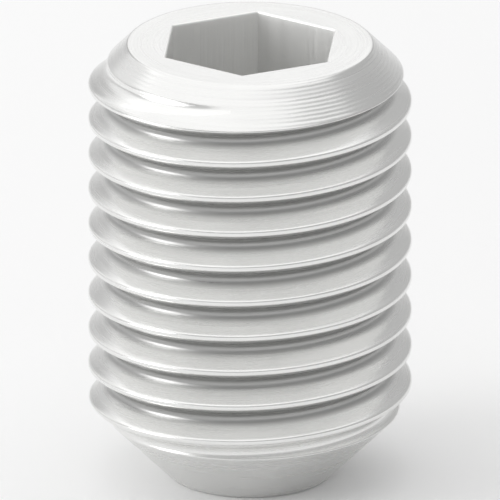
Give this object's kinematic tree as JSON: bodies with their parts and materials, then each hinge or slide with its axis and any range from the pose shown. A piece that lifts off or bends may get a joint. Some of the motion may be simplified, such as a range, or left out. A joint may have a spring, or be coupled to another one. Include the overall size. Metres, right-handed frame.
{
  "type": "grub set screw",
  "caption": "Headless set screw with a hexagon key socket in one end, a right-hand thread along its whole length and a tapered flat point that clamps a hub or collar to a shaft.",
  "frame": {"origin": "centre of the point's flat face, on the screw's axis", "axes": "+Z along the axis, from the flat point up to the socket end; two corners of the socket's hexagon lie on +Y and -Y"},
  "size_m": [0.0112, 0.0112, 0.0156],
  "materials": {
    "steel": "bright satin steel, turned and thread-rolled"
  },
  "bodies": {
    "root": {"set_screw": "steel"}
  },
  "joints": []
}
